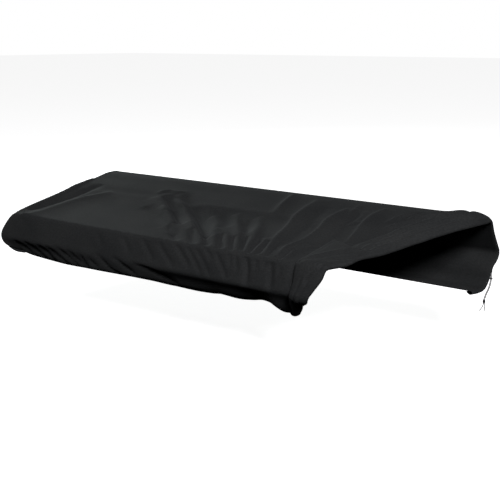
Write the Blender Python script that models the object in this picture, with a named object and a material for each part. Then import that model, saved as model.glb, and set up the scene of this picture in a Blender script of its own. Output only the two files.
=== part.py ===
"""A fitted stretch-cloth dust cover, drawn in under its edges and turned back at its right end.

Metres, +Z up. X runs along the cover, from its closed left end (-X) to its open right end (+X), Y runs
from front to back. The cloth is laid out in two measures: x, and the girth g, the distance along the
cloth round its section, which is 0 at the front top edge, negative down the front and positive over the
sloped top and down the back. The origin is under the top, where what fills the cover holds it up.
"""
import math

import bmesh
import bpy
import numpy as np

# Driving dimensions of the cloth
CLOTH_THICK = 0.0016
LEFT_END = -1.165            # x of the top's left edge, measured from the right end of the hollow
UNDER_TOP = (-0.600, 0.190, 0.1270)   # the mount under the top, in the same measures
HEM_HEIGHT = -0.012          # height at which the hem is drawn in
MOUTH_LOOP = 0.0038          # radius of the fold at the mouth
FLAP_REST = 0.0042           # height of the flap's free edge over the cloth below it
CORNER_POWER = 0.65          # below 1 squares the rounded left corners
FLAP_POWER = 0.6             # below 1 flattens the flap between its fold and its edge
NORMAL_STEP = 0.0015         # step along the cloth over which its direction is taken

# Grid of the cloth: few rows where it is flat, more round its edges
SKIRT_STEPS = (0.011, 0.030, 0.052, 0.072, 0.092, 0.112, 0.134, 0.157)
BACK_STEPS = (0.016, 0.060, 0.100, 0.122, 0.140, 0.165, 0.200, 0.232, 0.272)
TOP_ROWS = 15
PLAIN_COLUMNS = 20
FOLDED_COLUMNS = 26
FOLDED_SHARE = 0.56          # share of the length, from the left, that has the plain columns
LOOP_STEPS = 4
FLAP_STEPS = 5
FOLD_POINTS = 60             # points at which a fold's line is read

# Section of the cloth's outer face: y and z from the front hem, over the top, to the back hem
SECTION = (
    (0.0450, -0.0120), (0.0220, -0.0150), (0.0030, -0.0135), (-0.0080, -0.0060), (-0.0135, 0.0080),
    (-0.0160, 0.0250), (-0.0130, 0.0450), (-0.0085, 0.0680), (-0.0040, 0.0830), (-0.0014, 0.0893),
    (0.0012, 0.0922),
    (0.0045, 0.0937), (0.0100, 0.0948), (0.0250, 0.0972), (0.0600, 0.1030), (0.1100, 0.1117),
    (0.1600, 0.1215), (0.2000, 0.1315), (0.2200, 0.1380), (0.2400, 0.1425), (0.3000, 0.1545),
    (0.3600, 0.1650), (0.3850, 0.1635),
    (0.3960, 0.1550), (0.4050, 0.1420), (0.4250, 0.1130), (0.4500, 0.0810), (0.4610, 0.0660),
    (0.4570, 0.0540), (0.4440, 0.0420), (0.4370, 0.0250), (0.4340, 0.0030), (0.4250, -0.0110),
    (0.4050, -0.0140), (0.3750, -0.0120),
)
FRONT_EDGE_ROW = 10          # the row of SECTION at the front top edge
BACK_EDGE_ROW = 22           # and at the back top edge

# The bagging left end: distance down the cloth, how far it stands out, and its height as a share
LEFT_SKIRT = (
    (0.000, 0.000, 1.00), (0.012, 0.012, 1.00), (0.030, 0.028, 0.90), (0.052, 0.049, 0.69),
    (0.072, 0.064, 0.49), (0.092, 0.067, 0.31), (0.112, 0.050, 0.13), (0.134, 0.018, 0.01),
    (0.157, -0.018, 0.01),
)

# The mouth, from the front hem to the back hem: girth and x of its fold, girth and x where the
# turned-back flap ends, and how high the flap puffs up between the two
MOUTH = (
    (-0.157, -0.300, -0.150, -0.312, 0.003),
    (-0.130, -0.272, -0.122, -0.286, 0.004),
    (-0.112, -0.255, -0.106, -0.276, 0.004),
    (-0.098, -0.242, -0.090, -0.272, 0.005),
    (-0.087, -0.230, -0.076, -0.262, 0.006),
    (-0.075, -0.217, -0.064, -0.2555, 0.007),
    (-0.060, -0.206, -0.050, -0.252, 0.008),
    (-0.0475, -0.1975, -0.036, -0.2495, 0.009),
    (-0.022, -0.1815, -0.010, -0.2495, 0.010),
    (-0.005, -0.1767, 0.014, -0.2515, 0.010),
    (0.004, -0.164, 0.034, -0.250, 0.010),
    (0.025, -0.147, 0.078, -0.249, 0.010),
    (0.040, -0.1425, 0.106, -0.250, 0.010),
    (0.056, -0.1405, 0.137, -0.249, 0.010),
    (0.070, -0.1355, 0.1236, -0.2244, 0.010),
    (0.085, -0.124, 0.107, -0.200, 0.011),
    (0.096, -0.1155, 0.094, -0.180, 0.011),
    (0.106, -0.1086, 0.117, -0.187, 0.012),
    (0.130, -0.0977, 0.145, -0.176, 0.013),
    (0.155, -0.086, 0.177, -0.162, 0.013),
    (0.177, -0.076, 0.200, -0.150, 0.014),
    (0.205, -0.058, 0.238, -0.136, 0.015),
    (0.232, -0.040, 0.276, -0.116, 0.015),
    (0.270, -0.019, 0.315, -0.096, 0.016),
    (0.3055, -0.0005, 0.338, -0.071, 0.017),
    (0.340, 0.006, 0.360, -0.046, 0.014),
    (0.378, 0.006, 0.388, -0.036, 0.012),
    (0.410, 0.002, 0.412, -0.030, 0.010),
    (0.450, -0.002, 0.450, -0.024, 0.008),
    (0.515, -0.004, 0.515, -0.019, 0.004),
    (0.555, -0.009, 0.555, -0.026, 0.004),
    (0.605, -0.018, 0.600, -0.038, 0.004),
    (0.668, -0.028, 0.652, -0.046, 0.003),
)

# Main folds: height of the ridge, negative for a trough, its half width on the left and on the right
# of its line, and the line itself in x and g
FOLDS = {
    "left_corner_ridge": (0.0045, 0.012, 0.016, ((-1.150, 0.004), (-1.122, 0.047), (-1.106, 0.076),
                                                 (-1.090, 0.145), (-1.059, 0.218))),
    "left_end_trough": (-0.0050, 0.012, 0.014, ((-1.166, 0.020), (-1.162, 0.080), (-1.160, 0.180),
                                                (-1.142, 0.270))),
    "left_end_roll": (0.0075, 0.012, 0.012, ((-1.185, 0.010), (-1.184, 0.120), (-1.182, 0.300))),
    "corner_bulge": (0.0090, 0.030, 0.036, ((-0.058, 0.366), (-0.056, 0.385), (-0.056, 0.404))),
    "dent_one": (-0.0060, 0.013, 0.016, ((-0.856, 0.258), (-0.788, 0.196), (-0.725, 0.145),
                                         (-0.662, 0.093))),
    "dent_two": (-0.0060, 0.013, 0.018, ((-0.812, 0.264), (-0.731, 0.205), (-0.652, 0.141),
                                         (-0.583, 0.078), (-0.539, 0.038))),
    "dent_ridge": (0.0040, 0.010, 0.010, ((-0.801, 0.239), (-0.741, 0.189), (-0.673, 0.134),
                                          (-0.603, 0.072), (-0.543, 0.016))),
    "ridge_a": (0.0050, 0.012, 0.018, ((-0.506, 0.376), (-0.494, 0.300), (-0.475, 0.228))),
    "ridge_b": (0.0060, 0.013, 0.022, ((-0.426, 0.350), (-0.413, 0.232), (-0.394, 0.150),
                                       (-0.377, 0.086), (-0.348, 0.009))),
    "ridge_c": (0.0070, 0.011, 0.020, ((-0.321, 0.318), (-0.326, 0.240), (-0.314, 0.163),
                                       (-0.314, 0.103), (-0.325, 0.072), (-0.314, 0.012))),
    "ridge_d": (0.0060, 0.012, 0.018, ((-0.230, 0.344), (-0.238, 0.300), (-0.228, 0.210),
                                       (-0.215, 0.135))),
    "trough_bc": (-0.0040, 0.016, 0.016, ((-0.372, 0.310), (-0.362, 0.190), (-0.345, 0.090))),
    "trough_cd": (-0.0040, 0.018, 0.018, ((-0.278, 0.300), (-0.272, 0.200), (-0.268, 0.080))),
    "front_seam_crease": (-0.0040, 0.009, 0.009, ((-0.385, -0.006), (-0.379, -0.030), (-0.378, -0.066))),
    "front_flap_crease": (-0.0040, 0.010, 0.010, ((-0.318, -0.006), (-0.315, -0.030), (-0.313, -0.066))),
}

# How the front hem is turned in below its crease: girth, how far in and how far up, and the share of
# it along the cover: x and share
TURN_IN = (
    (-0.158, 0.025, -0.006), (-0.135, 0.025, -0.006), (-0.116, 0.027, -0.001), (-0.102, 0.026, 0.001),
    (-0.087, 0.0185, 0.000), (-0.072, 0.003, 0.000), (-0.066, 0.000, 0.000),
)
TURN_IN_SHARE = ((-0.860, 0.0), (-0.760, 0.25), (-0.620, 1.0))
# How much the hem's underside rises or falls along the front: x and height
HEM_RISE = ((-1.165, -0.002), (-0.970, -0.001), (-0.760, -0.002), (-0.700, -0.005), (-0.640, -0.008),
            (-0.570, -0.009), (-0.520, -0.007), (-0.490, -0.004), (-0.440, -0.006), (-0.400, -0.002),
            (-0.370, 0.003), (-0.345, 0.000), (-0.325, -0.009), (-0.308, -0.014), (-0.295, -0.013),
            (-0.283, -0.009), (-0.272, -0.003), (-0.262, 0.001), (-0.250, 0.006), (-0.235, 0.008))
HEM_RISE_GIRTHS = (-0.072, -0.104)    # where the rise starts and where it is whole
# Where the top sinks at the back right corner: depth, x and girth of its middle, half widths of both
BACK_DIP = (0.014, 0.010, 0.375, 0.045, 0.050)

# The drawcord: two strands side by side, out of the flap's hem on the back, through a knot and down to
# a lock, then two short ends
STRAND = 0.0018              # diameter of a strand
STRAND_APART = 0.0024        # distance between the strands' middles
TOUCH_GAP = 0.0003           # gap between pieces that touch
CORD_STEP = 0.0042           # distance between points of a strand
CORD_GIRTH_STEP = 0.122      # how far down the back the strands leave the flap's free edge
CORD_STRAIGHT = 0.0030       # length that they run straight out of the hem
HEM_GAP = 0.0013             # gap between the curved hem and the middle of the two flat strand ends
CORD_HANG = ((-0.0256, 0.4690, 0.0610), (-0.0244, 0.4720, 0.0500), (-0.0218, 0.4700, 0.0280),
             (-0.0205, 0.4670, 0.0080), (-0.0205, 0.4660, -0.0060), (-0.0225, 0.4640, -0.0200),
             (-0.0290, 0.4615, -0.0400), (-0.0315, 0.4600, -0.0510))
TURN_LENGTH = 0.014          # length over which the strands turn to hang side by side
KNOT_HEIGHT = 0.0008         # height of the knot's middle
KNOT_LENGTH = 0.0030
KNOT_WALL = 0.0011
KNOT_PROFILE = (0.8, 1.0, 0.9)        # bore's half length, rim's half length and rim's half width, as shares
LOCK_LENGTH = 0.0085
LOCK_RADIUS = 0.0031
LOCK_PROFILE = ((0.0, 0.70), (0.14, 0.92), (0.34, 1.0), (0.66, 1.0), (0.86, 0.92), (1.0, 0.70))
TURNED_SIDES = 16            # sides of the knot and of the lock
SMOOTH_ANGLE = math.radians(50)
LONG_END = ((0.0, 0.0, 0.0), (-0.0010, -0.0008, -0.0060), (-0.0045, -0.0015, -0.0130),
            (-0.0085, -0.0018, -0.0190))
SHORT_END = ((0.0, 0.0, 0.0), (0.0008, 0.0010, -0.0060), (0.0004, 0.0014, -0.0130),
             (-0.0006, 0.0014, -0.0195))


def read_curve(knots, values, tangents, wanted):
    """Reads a curve through values at knots with the given tangents there."""
    wanted = np.clip(wanted, knots[0], knots[-1])
    cell = np.clip(np.searchsorted(knots, wanted) - 1, 0, len(knots) - 2)
    width = knots[cell + 1] - knots[cell]
    t = (wanted - knots[cell]) / width
    start = (2 * t**3 - 3 * t**2 + 1) * values[cell] + (t**3 - 2 * t**2 + t) * width * tangents[cell]
    end = (3 * t**2 - 2 * t**3) * values[cell + 1] + (t**3 - t**2) * width * tangents[cell + 1]
    return start + end


def round_curve(knots, values, wanted):
    """A rounded curve through values given at knots."""
    knots = np.asarray(knots, float)
    values = np.asarray(values, float)
    widths = np.diff(knots)
    slopes = np.diff(values) / widths
    middle = (slopes[:-1] * widths[1:] + slopes[1:] * widths[:-1]) / (widths[1:] + widths[:-1])
    return read_curve(knots, values, np.concatenate((slopes[:1], middle, slopes[-1:])), wanted)


def level_curve(knots, values, wanted):
    """A smooth curve through values given at knots that never goes past them."""
    knots = np.asarray(knots, float)
    values = np.asarray(values, float)
    widths = np.diff(knots)
    slopes = np.diff(values) / widths
    product = slopes[:-1] * slopes[1:]
    mean = 2.0 * product / np.where(product > 0.0, slopes[:-1] + slopes[1:], 1.0)
    middle = np.where(product > 0.0, mean, 0.0)
    return read_curve(knots, values, np.concatenate((slopes[:1], middle, slopes[-1:])), wanted)


SECTION_Y, SECTION_Z = np.array(SECTION).T
SECTION_GIRTH = np.concatenate(([0.0], np.cumsum(np.hypot(np.diff(SECTION_Y), np.diff(SECTION_Z)))))
SECTION_GIRTH -= SECTION_GIRTH[FRONT_EDGE_ROW]
FRONT_GIRTH = SECTION_GIRTH[0]
BACK_EDGE_GIRTH = SECTION_GIRTH[BACK_EDGE_ROW]
BACK_GIRTH = SECTION_GIRTH[-1]


def section(girth):
    """Depth and height of the outer face at a girth, along the straight part of the cover."""
    return (round_curve(SECTION_GIRTH, SECTION_Y, girth), round_curve(SECTION_GIRTH, SECTION_Z, girth))


def base_point(x, girth):
    """A point of the smooth outer face without folds. Left of the top's edge it turns down the end."""
    x = np.asarray(x, float)
    girth = np.asarray(girth, float)
    down_left = np.maximum(LEFT_END - x, 0.0)
    down_front = np.maximum(-girth, 0.0) * SKIRT_STEPS[-1] / -FRONT_GIRTH
    down_back = np.maximum(girth - BACK_EDGE_GIRTH, 0.0) * SKIRT_STEPS[-1] / (BACK_GIRTH - BACK_EDGE_GIRTH)
    down_side = np.maximum(down_front, down_back)
    down = np.maximum(down_left, down_side)
    table = np.array(LEFT_SKIRT).T
    left_out = round_curve(table[0], table[1], down)
    left_share = round_curve(table[0], table[2], down)

    at_left = down_left > 0.0
    in_corner = at_left & (down_side > 0.0)
    turned = np.where(in_corner, 0.5 * np.minimum(down_left, down_side) / np.maximum(down, 1e-9), 0.0)
    turned = np.where(in_corner & (down_side > down_left), 1.0 - turned, turned)
    turned = np.where(at_left, turned, 1.0) * math.pi / 2
    toward_left = np.abs(np.cos(turned)) ** CORNER_POWER * at_left
    toward_side = np.where(at_left, np.abs(np.sin(turned)) ** CORNER_POWER, 1.0)

    side_girth = np.where(down_front > 0.0, down * FRONT_GIRTH / SKIRT_STEPS[-1],
                          BACK_EDGE_GIRTH + down * (BACK_GIRTH - BACK_EDGE_GIRTH) / SKIRT_STEPS[-1])
    foot_girth = np.clip(girth, 0.0, BACK_EDGE_GIRTH)
    side_y, side_z = section(np.where(down_side > 0.0, side_girth, girth))
    foot_y, foot_z = section(foot_girth)
    along = np.where(at_left, LEFT_END - left_out * toward_left, x)
    y = foot_y + (side_y - foot_y) * toward_side
    left_z = HEM_HEIGHT + (foot_z - HEM_HEIGHT) * left_share
    share = np.sin(turned) ** 2
    z = np.where(at_left, left_z * (1.0 - share) + side_z * share, side_z)
    y = np.where(at_left & (down_side <= 0.0), foot_y, y)
    inward, rise = turned_hem(x, girth)
    depth, dip_x, dip_girth, half_x, half_girth = BACK_DIP
    dip = depth * np.exp(-((x - dip_x) / half_x) ** 2 - ((girth - dip_girth) / half_girth) ** 2)
    return np.stack([along, y + inward, z + rise - dip], axis=-1)


def turned_hem(x, girth):
    """How far the front hem is turned in at a place, and how much its underside rises."""
    girths, inward, upward = np.array(TURN_IN).T
    share_table = np.array(TURN_IN_SHARE).T
    share = level_curve(share_table[0], share_table[1], x)
    start, whole = HEM_RISE_GIRTHS
    under = np.clip((start - girth) / (start - whole), 0.0, 1.0)
    table = np.array(HEM_RISE).T
    rise = level_curve(table[0], table[1], x) * under * under * (3.0 - 2.0 * under)
    return (level_curve(girths, inward, girth) * share,
            level_curve(girths, upward, girth) * share + rise)


def base_normal(x, girth):
    """Outward direction of the smooth outer face."""
    step = NORMAL_STEP
    along = base_point(x + step, girth) - base_point(x - step, girth)
    around = base_point(x, girth + step) - base_point(x, girth - step)
    normal = np.cross(along, around)
    return normal / np.linalg.norm(normal, axis=-1, keepdims=True)


def on_cloth(x, girth, lift):
    """A point at a lift above the smooth outer face, measured from the mount under the top."""
    lifted = base_point(x, girth) + base_normal(x, girth) * np.asarray(lift)[..., None]
    return lifted - np.array(UNDER_TOP)


def fold_relief(x, girth):
    """Height of the folds above the smooth face."""
    height = np.zeros_like(x)
    for rise, left_width, right_width, line in FOLDS.values():
        points = np.array(line)
        lengths = np.concatenate(([0.0], np.cumsum(np.hypot(*np.diff(points, axis=0).T))))
        fine = np.linspace(0.0, lengths[-1], FOLD_POINTS)
        line_x = round_curve(lengths, points[:, 0], fine)
        line_g = round_curve(lengths, points[:, 1], fine)
        apart_x = x[..., None] - line_x
        apart_g = girth[..., None] - line_g
        nearest = np.argmin(apart_x**2 + apart_g**2, axis=-1)
        near_x = np.take_along_axis(apart_x, nearest[..., None], -1)[..., 0]
        near_g = np.take_along_axis(apart_g, nearest[..., None], -1)[..., 0]
        width = np.where(near_x < 0.0, left_width, right_width)
        from_middle = 2.0 * fine[nearest] / lengths[-1] - 1.0
        taper = np.sqrt(np.clip(1.0 - from_middle**2, 0.0, 1.0))
        height += rise * taper * np.exp(-(near_x**2 + near_g**2) / width**2)
    return height


def mouth_at(girth):
    """Where the fold lies at a girth, where its flap ends, and how high the flap puffs up."""
    table = np.array(MOUTH).T
    return [level_curve(table[0], column, girth) for column in table[1:]]


def sheet_rows():
    """Girths of the rows of the grid."""
    front = [-step for step in reversed(SKIRT_STEPS)]
    top = list(np.linspace(0.0, BACK_EDGE_GIRTH, TOP_ROWS))
    back = [BACK_EDGE_GIRTH + step for step in BACK_STEPS]
    front[0] = FRONT_GIRTH
    back[-1] = BACK_GIRTH
    return np.array(front + top + back)


def sheet_row(girth):
    """The points of one row, from the left hem to the flap's free edge."""
    fold_x, end_girth, end_x, puff = (float(value) for value in mouth_at(girth))
    loop_middle = fold_x - MOUTH_LOOP
    shares = np.concatenate((np.linspace(0.0, FOLDED_SHARE, PLAIN_COLUMNS, endpoint=False),
                             np.linspace(FOLDED_SHARE, 1.0, FOLDED_COLUMNS)))
    skirt_x = LEFT_END - np.array(SKIRT_STEPS[::-1])
    lying_x = np.concatenate((skirt_x, LEFT_END + (loop_middle - LEFT_END) * shares))
    lying_girth = np.full_like(lying_x, girth)

    turn = np.linspace(0.0, math.pi, LOOP_STEPS + 2)[1:-1]
    loop_x = loop_middle + MOUTH_LOOP * np.sin(turn)
    loop_lift = MOUTH_LOOP * (1.0 - np.cos(turn))

    back = np.linspace(0.0, 1.0, FLAP_STEPS + 1)
    flap_x = loop_middle + (end_x - loop_middle) * back
    flap_girth = girth + (end_girth - girth) * back
    flap_lift = 2.0 * MOUTH_LOOP * (1.0 - back) + FLAP_REST * back
    flap_lift += 0.5 * puff * np.clip(np.sin(math.pi * back), 0.0, 1.0) ** FLAP_POWER
    flap_lift += fold_relief(flap_x, flap_girth) * back

    xs = np.concatenate((lying_x, loop_x, flap_x))
    girths = np.concatenate((lying_girth, np.full_like(loop_x, girth), flap_girth))
    lifts = np.concatenate((fold_relief(lying_x, lying_girth), loop_lift, flap_lift))
    return on_cloth(xs, girths, lifts)


def add_object(name, data, material):
    """Puts a shape in the scene as one named piece with its finish."""
    data.materials.append(material)
    piece = bpy.data.objects.new(name, data)
    bpy.context.collection.objects.link(piece)
    return piece


def make_cover(material):
    """The whole cloth as one sheet, hem and turned-back flap included."""
    rows = [sheet_row(girth) for girth in sheet_rows()]
    mesh = bpy.data.meshes.new("cover")
    shape = bmesh.new()
    grid = [[shape.verts.new(point) for point in row] for row in rows]
    for lower, upper in zip(grid[:-1], grid[1:]):
        for column in range(len(lower) - 1):
            shape.faces.new((lower[column], lower[column + 1], upper[column + 1], upper[column]))
    shape.to_mesh(mesh)
    shape.free()
    mesh.shade_smooth()
    cover = add_object("cover", mesh, material)
    thick = cover.modifiers.new("cloth_thickness", "SOLIDIFY")
    thick.thickness = CLOTH_THICK
    thick.offset = -1.0


def cord_route():
    """The middle line of the two strands, from the flap's hem to the top of the lock, and the way that
    the hem runs where they leave it."""
    before, edge = sheet_row(BACK_EDGE_GIRTH + CORD_GIRTH_STEP)[-2:]
    outward = (edge - before) / np.linalg.norm(edge - before)
    down_hem = sheet_row(BACK_EDGE_GIRTH + CORD_GIRTH_STEP + CORD_STRAIGHT)[-1] - edge
    across = np.cross(down_hem, outward)
    across /= np.linalg.norm(across)
    start = edge + outward * HEM_GAP + across * CLOTH_THICK / 2 * np.sign(across[1])
    hanging = np.array(CORD_HANG) - np.array(UNDER_TOP)
    route = np.concatenate(((start, start + outward * CORD_STRAIGHT), hanging))
    return route, np.cross(outward, across)


def even_points(route):
    """Evenly spaced points on a smooth curve through a route, and their lengths along it."""
    lengths = np.concatenate(([0.0], np.cumsum(np.linalg.norm(np.diff(route, axis=0), axis=1))))
    even = np.linspace(0.0, lengths[-1], round(lengths[-1] / CORD_STEP) + 1)
    return np.stack([round_curve(lengths, route[:, axis], even) for axis in range(3)], axis=1), even


def make_strand(name, points, material):
    """One strand of the drawcord as a round tube with closed ends."""
    data = bpy.data.curves.new(name, "CURVE")
    data.dimensions = "3D"
    data.bevel_depth = STRAND / 2
    data.bevel_resolution = 2
    data.use_fill_caps = True
    spline = data.splines.new("POLY")
    spline.points.add(len(points) - 1)
    for place, point in zip(spline.points, points):
        place.co = (*point, 1.0)
    add_object(name, data, material)


def ring_faces(shape, rings, closed):
    """Joins rings of points, one after another, into a skin."""
    following = rings[1:] + rings[:1] if closed else rings[1:]
    for upper, lower in zip(rings, following):
        for side in range(len(upper)):
            after = (side + 1) % len(upper)
            shape.faces.new((upper[side], lower[side], lower[after], upper[after]))


def make_turned(name, loops, closed, material):
    """A piece round the cord: loops of half width, half depth and height, joined in order."""
    shape = bmesh.new()
    rings = []
    for half_width, half_depth, height in loops:
        angles = [2 * math.pi * side / TURNED_SIDES for side in range(TURNED_SIDES)]
        rings.append([shape.verts.new((half_width * math.cos(angle), half_depth * math.sin(angle), height))
                      for angle in angles])
    ring_faces(shape, rings, closed)
    if not closed:
        shape.faces.new(rings[0])
        shape.faces.new(tuple(reversed(rings[-1])))
    mesh = bpy.data.meshes.new(name)
    shape.to_mesh(mesh)
    shape.free()
    mesh.shade_smooth()
    mesh.set_sharp_from_angle(angle=SMOOTH_ANGLE)
    return add_object(name, mesh, material)


def make_knot(points, material):
    """The small knot pulled tight round both strands."""
    half = KNOT_LENGTH / 2
    inner_width = STRAND_APART / 2 + STRAND / 2 + 2 * TOUCH_GAP
    inner_depth = STRAND / 2 + 2 * TOUCH_GAP
    outer_width = inner_width + KNOT_WALL
    outer_depth = inner_depth + KNOT_WALL
    bore, rim, rim_width = KNOT_PROFILE
    loops = ((inner_width, inner_depth, half * bore),
             (outer_width * rim_width, outer_depth * rim_width, half * rim),
             (outer_width, outer_depth, 0.0),
             (outer_width * rim_width, outer_depth * rim_width, -half * rim),
             (inner_width, inner_depth, -half * bore))
    knot = make_turned("cord_knot", loops, True, material)
    nearest = np.argmin(np.abs(points[:, 2] + UNDER_TOP[2] - KNOT_HEIGHT))
    knot.location = points[nearest]


def make_drawcord(cord_finish, lock_finish):
    """Both strands, the knot round them, the lock under them and the two ends under the lock."""
    route, hem_way = cord_route()
    points, lengths = even_points(route)
    turn = np.clip(lengths / TURN_LENGTH, 0.0, 1.0)[:, None] * math.pi / 2
    hem_way *= -np.sign(hem_way[2])
    apart = STRAND_APART / 2 * (hem_way * np.cos(turn) + np.array((1.0, 0.0, 0.0)) * np.sin(turn))
    make_strand("drawcord_left", points - apart, cord_finish)
    make_strand("drawcord_right", points + apart, cord_finish)
    make_knot(points, cord_finish)

    loops = [(LOCK_RADIUS * wide, LOCK_RADIUS * wide, -LOCK_LENGTH * along) for along, wide in LOCK_PROFILE]
    lock = make_turned("cord_lock", loops, False, lock_finish)
    lock.location = points[-1] - np.array((0.0, 0.0, 2 * TOUCH_GAP))
    under_lock = points[-1] - np.array((0.0, 0.0, 4 * TOUCH_GAP + LOCK_LENGTH))
    for name, hang, side in (("cord_end_left", LONG_END, -0.5), ("cord_end_right", SHORT_END, 0.5)):
        end_points, _ = even_points(under_lock + np.array(hang))
        end_points[:, 0] += side * STRAND_APART
        make_strand(name, end_points, cord_finish)


def make_material(name, colour, roughness):
    """A plain finish for one piece."""
    material = bpy.data.materials.new(name)
    material.use_nodes = True
    shader = material.node_tree.nodes["Principled BSDF"]
    shader.inputs["Base Color"].default_value = (*colour, 1.0)
    shader.inputs["Roughness"].default_value = roughness
    return material


def main():
    for existing in list(bpy.data.objects):
        bpy.data.objects.remove(existing, do_unlink=True)
    cloth = make_material("black_stretch_cloth", (0.020, 0.021, 0.022), 0.78)
    cord = make_material("black_cord", (0.030, 0.030, 0.031), 0.70)
    lock = make_material("black_lock", (0.018, 0.018, 0.019), 0.45)
    make_cover(cloth)
    make_drawcord(cord, lock)


main()
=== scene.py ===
"""The finished look of a fitted stretch-cloth keyboard dust cover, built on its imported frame.

Metres, +Z up. The cloth is laid out as in the part's source: x along the cover, and the girth g, the
distance along the cloth round its section, which is 0 at the front top edge, negative down the front and
positive over the sloped top and down the back. Here the same sheet is finer and has all its folds.
"""

import math

import bpy
import numpy as np
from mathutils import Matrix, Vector


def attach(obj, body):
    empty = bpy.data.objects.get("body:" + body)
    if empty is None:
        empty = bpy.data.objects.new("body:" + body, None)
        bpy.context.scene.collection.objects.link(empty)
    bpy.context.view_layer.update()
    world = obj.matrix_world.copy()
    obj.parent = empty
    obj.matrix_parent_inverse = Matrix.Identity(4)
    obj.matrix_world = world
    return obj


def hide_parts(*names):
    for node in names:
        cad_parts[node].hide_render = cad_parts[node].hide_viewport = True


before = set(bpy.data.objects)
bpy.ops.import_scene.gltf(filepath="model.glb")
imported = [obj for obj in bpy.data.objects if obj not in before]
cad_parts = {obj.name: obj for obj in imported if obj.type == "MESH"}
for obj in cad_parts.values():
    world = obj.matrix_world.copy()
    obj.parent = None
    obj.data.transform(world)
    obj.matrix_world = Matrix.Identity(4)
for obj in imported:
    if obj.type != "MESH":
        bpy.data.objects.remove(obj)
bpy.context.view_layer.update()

# The cloth's driving dimensions. They are the part's, but the fold and the flap lie a little closer here
CLOTH_THICK = 0.0016
LEFT_END = -1.165            # x of the top's left edge, measured from the right end of the hollow
UNDER_TOP = (-0.600, 0.190, 0.1270)   # the mount under the top, in the same measures
HEM_HEIGHT = -0.012          # height at which the hem is drawn in
MOUTH_LOOP = 0.0032          # radius of the fold at the mouth
FLAP_REST = 0.0034           # height of the flap's free edge over the cloth below it
CORNER_POWER = 0.65          # below 1 squares the rounded left corners
FLAP_POWER = 0.6             # below 1 flattens the flap between its fold and its edge
NORMAL_STEP = 0.0015         # step along the cloth over which its direction is taken
SKIRT_LENGTH = 0.157         # how far the cloth goes down and under at the left end

# The fine grid
ROW_STEP = 0.0045            # down the front and over the top
EDGE_ROW_STEP = 0.0019       # at the front top edge
EDGE_GIRTHS = (-0.0095, 0.0095)
HEM_ROW_STEP = 0.0070        # under the front hem
BACK_ROW_STEP = 0.0085       # down the back
UNDER_GIRTH = -0.118         # girth from which the rows under the front hem are wider
SKIRT_COLUMNS = 28           # down the left end
LYING_COLUMNS = 196          # from there to the mouth
PLAIN_LENGTH = 0.45          # share of the length, from the left, that has the wider columns
FOLDED_COLUMNS = 0.68        # share of the columns that the rest has
LOOP_STEPS = 8
FLAP_STEPS = 34
FOLD_POINTS = 50             # points at which a fold's line is read
FOLD_REACH = 3.0             # half widths from its line at which a fold ends
PUFF_SHARE = 0.5             # how much of the flap's puff is left in the stretched cloth

# Section of the cloth's outer face: y and z from the front hem, over the top, to the back hem
SECTION = (
    (0.0450, -0.0120), (0.0220, -0.0150), (0.0030, -0.0135), (-0.0080, -0.0060), (-0.0135, 0.0080),
    (-0.0160, 0.0250), (-0.0130, 0.0450), (-0.0085, 0.0680), (-0.0040, 0.0830), (-0.0014, 0.0893),
    (0.0012, 0.0922),
    (0.0045, 0.0937), (0.0100, 0.0948), (0.0250, 0.0972), (0.0600, 0.1030), (0.1100, 0.1117),
    (0.1600, 0.1215), (0.2000, 0.1315), (0.2200, 0.1380), (0.2400, 0.1425), (0.3000, 0.1545),
    (0.3600, 0.1650), (0.3850, 0.1635),
    (0.3960, 0.1550), (0.4050, 0.1420), (0.4250, 0.1130), (0.4500, 0.0810), (0.4610, 0.0660),
    (0.4570, 0.0540), (0.4440, 0.0420), (0.4370, 0.0250), (0.4340, 0.0030), (0.4250, -0.0110),
    (0.4050, -0.0140), (0.3750, -0.0120),
)
FRONT_EDGE_ROW = 10          # the row of SECTION at the front top edge
BACK_EDGE_ROW = 22           # and at the back top edge

# The bagging left end: distance down the cloth, how far it stands out, and its height as a share
LEFT_SKIRT = (
    (0.000, 0.000, 1.00), (0.012, 0.012, 1.00), (0.030, 0.028, 0.90), (0.052, 0.049, 0.69),
    (0.072, 0.064, 0.49), (0.092, 0.067, 0.31), (0.112, 0.050, 0.13), (0.134, 0.018, 0.01),
    (0.157, -0.018, 0.01),
)

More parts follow.
